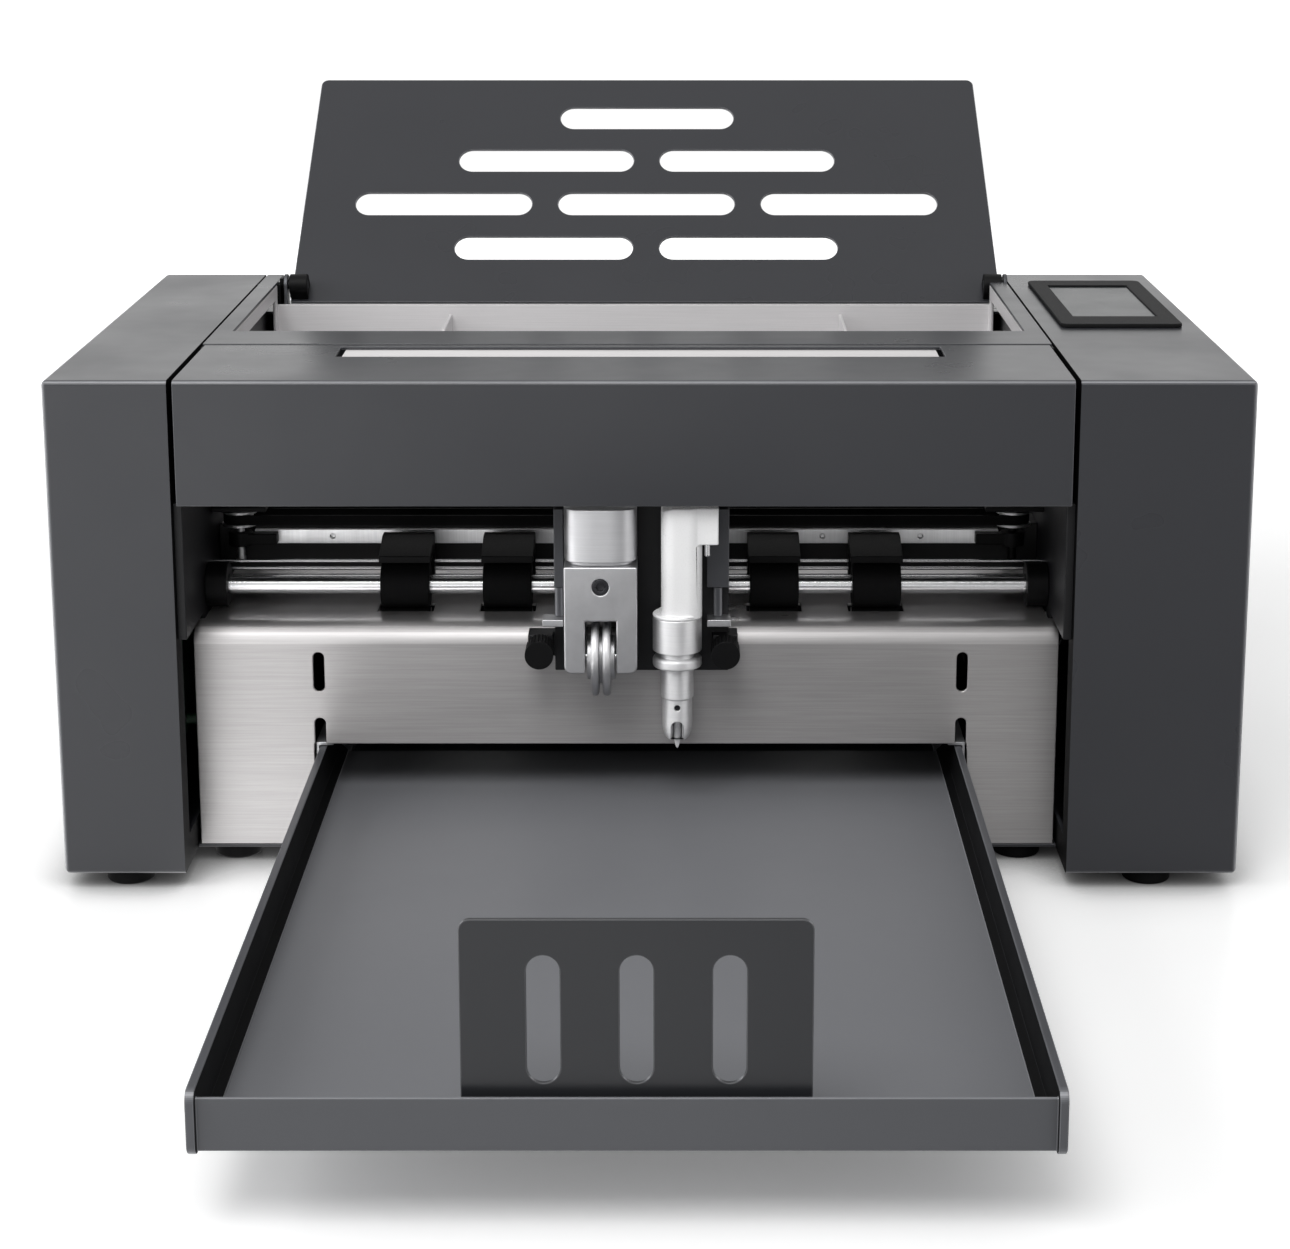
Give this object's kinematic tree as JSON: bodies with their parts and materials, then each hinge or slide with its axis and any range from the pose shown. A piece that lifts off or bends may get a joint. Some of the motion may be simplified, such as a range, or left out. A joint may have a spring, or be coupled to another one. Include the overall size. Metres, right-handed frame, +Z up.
{
  "type": "sticker cutting machine",
  "caption": "Desktop sheet-fed cutter that pulls sticker sheets past a belt-driven carriage with a crease wheel and a drag blade, with a folding in-feed tray and a sliding out tray.",
  "frame": {"origin": "middle of the box in plan, on the desk under the feet", "axes": "+X to the right seen from the operator, +Y from the operator to the back, +Z up"},
  "size_m": [0.66, 0.9006, 0.4121],
  "materials": {
    "charcoal_coat": "satin powder coat",
    "brushed_stainless": "brushed along X",
    "black_coat": "satin black coat",
    "bright_steel": "ground and polished",
    "satin_aluminium": "turned, satin",
    "grey_coat": "satin grey coat",
    "white_plastic": "smooth moulded",
    "black_plastic": "fine moulded grain",
    "black_rubber": "matt",
    "screen_glass": "smooth",
    "board_green": "solder mask",
    "plated_steel": "zinc plated",
    "black_oxide": "black oxide"
  },
  "bodies": {
    "chassis": {"base_pan": "charcoal_coat", "left_side_frame": "black_coat", "right_side_frame": "black_coat", "left_side_cover": "charcoal_coat", "right_side_cover": "charcoal_coat", "front_hood": "charcoal_coat", "hood_inlay_strip": "brushed_stainless", "front_apron": "brushed_stainless", "rear_panel": "charcoal_coat", "trough_rim": "charcoal_coat", "feed_chute": "brushed_stainless", "hinge_brackets": "plated_steel", "feet": "black_rubber", "screen_bezel": "black_plastic", "screen_glass": "screen_glass", "carriage_beam": "black_coat", "guide_rail": "bright_steel", "guide_rods": "bright_steel", "roller_clips": "black_plastic", "feed_bearings": "black_plastic", "belt_brackets": "black_coat", "carriage_motor": "grey_coat", "carriage_belt": "black_rubber", "feed_motor": "black_plastic", "feed_belt": "black_rubber", "main_board": "board_green", "power_supply": "plated_steel", "rear_socket_panel": "black_plastic", "tray_runners": "grey_coat", "cover_screws": "bright_steel"},
    "carriage": {"carriage_body": "black_coat", "lift_cylinders": "grey_coat", "clamp_brackets": "satin_aluminium"},
    "left_knob": {"left_clamp_knob": "black_plastic"},
    "right_knob": {"right_clamp_knob": "black_plastic"},
    "crease_tool": {"crease_cap": "satin_aluminium", "crease_block": "satin_aluminium", "crease_screw": "black_oxide", "crease_axle": "bright_steel"},
    "crease_roller": {"crease_wheel": "satin_aluminium"},
    "blade_tool": {"blade_head": "white_plastic", "blade_sleeve": "satin_aluminium", "blade_barrel": "satin_aluminium"},
    "blade_insert": {"blade": "bright_steel"},
    "feed_drive": {"feed_shaft": "bright_steel", "feed_rollers": "black_rubber", "feed_pulley": "satin_aluminium"},
    "feed_motor_rotor": {"motor_pulley": "satin_aluminium"},
    "grit_drive": {"grit_shaft": "satin_aluminium"},
    "pickup_drive": {"pickup_roller": "black_rubber"},
    "drive_wheel": {"drive_pulley": "satin_aluminium"},
    "idler_wheel": {"idler_pulley": "satin_aluminium"},
    "in_tray": {"rear_tray": "charcoal_coat", "rear_tray_knuckles": "black_plastic"},
    "sheet_tray": {"out_tray": "charcoal_coat"},
    "sheet_stop": {"stop_plate": "charcoal_coat"},
    "left_guide": {"left_paper_guide": "brushed_stainless"},
    "right_guide": {"right_paper_guide": "brushed_stainless"},
    "rocker": {"power_rocker": "black_plastic"}
  },
  "joints": [
    {"name": "carriage_slide", "type": "slide", "parent": "chassis", "child": "carriage", "axis": [1, 0, 0], "range_m": [-0.15, 0.15]},
    {"name": "drive_pulley_spin", "type": "hinge", "parent": "chassis", "child": "drive_wheel", "pos_m": [-0.243, 0.07569, 0.187], "axis": [0, 0, 1], "range_deg": [-1000, 1000]},
    {"name": "idler_pulley_spin", "type": "hinge", "parent": "chassis", "child": "idler_wheel", "pos_m": [0.213, 0.07569, 0.187], "axis": [0, 0, 1], "range_deg": [-1000, 1000]},
    {"name": "crease_lift", "type": "slide", "parent": "carriage", "child": "crease_tool", "axis": [0, 0, 1], "range_m": [-0.005, 0], "stiffness_N_per_m": 1500, "springref_m": 0.004},
    {"name": "crease_wheel_spin", "type": "hinge", "parent": "crease_tool", "child": "crease_roller", "pos_m": [-0.0275, -0.02431, 0.1307], "axis": [1, 0, 0], "continuous": true},
    {"name": "blade_lift", "type": "slide", "parent": "carriage", "child": "blade_tool", "axis": [0, 0, 1], "range_m": [-0.005, 0], "stiffness_N_per_m": 1000, "springref_m": 0.004},
    {"name": "blade_swivel", "type": "hinge", "parent": "blade_tool", "child": "blade_insert", "pos_m": [0.015, -0.02431, 0.1], "axis": [0, 0, 1], "continuous": true},
    {"name": "left_knob_turn", "type": "hinge", "parent": "carriage", "child": "left_knob", "pos_m": [-0.062, -0.02131, 0.1335], "axis": [0, 1, 0], "range_deg": [-360, 0]},
    {"name": "right_knob_turn", "type": "hinge", "parent": "carriage", "child": "right_knob", "pos_m": [0.042, -0.02131, 0.1335], "axis": [0, 1, 0], "range_deg": [-360, 0]},
    {"name": "feed_shaft_spin", "type": "hinge", "parent": "chassis", "child": "feed_drive", "pos_m": [0, 0.03869, 0.1558], "axis": [1, 0, 0], "continuous": true},
    {"name": "feed_motor_spin", "type": "hinge", "parent": "chassis", "child": "feed_motor_rotor", "pos_m": [0.245, 0.13869, 0.105], "axis": [1, 0, 0], "continuous": true},
    {"name": "grit_shaft_spin", "type": "hinge", "parent": "chassis", "child": "grit_drive", "pos_m": [0, 0.03869, 0.1352], "axis": [1, 0, 0], "continuous": true},
    {"name": "pickup_spin", "type": "hinge", "parent": "chassis", "child": "pickup_drive", "pos_m": [0, 0.19366, 0.16731], "axis": [1, 0, 0], "continuous": true},
    {"name": "rear_tray_fold", "type": "hinge", "parent": "chassis", "child": "in_tray", "pos_m": [-0.006, 0.31419, 0.288], "axis": [1, 0, 0], "range_deg": [0, 135]},
    {"name": "out_tray_slide", "type": "slide", "parent": "chassis", "child": "sheet_tray", "axis": [0, 1, 0], "range_m": [0, 0.25]},
    {"name": "stop_fold", "type": "hinge", "parent": "sheet_tray", "child": "sheet_stop", "pos_m": [-0.002, -0.43931, 0.0467], "axis": [-1, 0, 0], "range_deg": [0, 90]},
    {"name": "left_guide_slide", "type": "slide", "parent": "chassis", "child": "left_guide", "axis": [1, 0, 0], "range_m": [-0.022, 0.022]},
    {"name": "right_guide_slide", "type": "slide", "parent": "chassis", "child": "right_guide", "axis": [1, 0, 0], "range_m": [-0.022, 0.022]},
    {"name": "power_switch", "type": "hinge", "parent": "chassis", "child": "rocker", "pos_m": [0.282, 0.34069, 0.111], "axis": [1, 0, 0], "range_deg": [-16, 0]}
  ],
  "couplings": [
    {"joint": "drive_pulley_spin", "follows": "carriage_slide", "rad_per_m": 113.25},
    {"joint": "idler_pulley_spin", "follows": "carriage_slide", "rad_per_m": 113.25},
    {"joint": "feed_motor_spin", "follows": "feed_shaft_spin", "ratio": 1},
    {"joint": "grit_shaft_spin", "follows": "feed_shaft_spin", "ratio": -1.8571},
    {"joint": "right_guide_slide", "follows": "left_guide_slide", "ratio": -1}
  ]
}
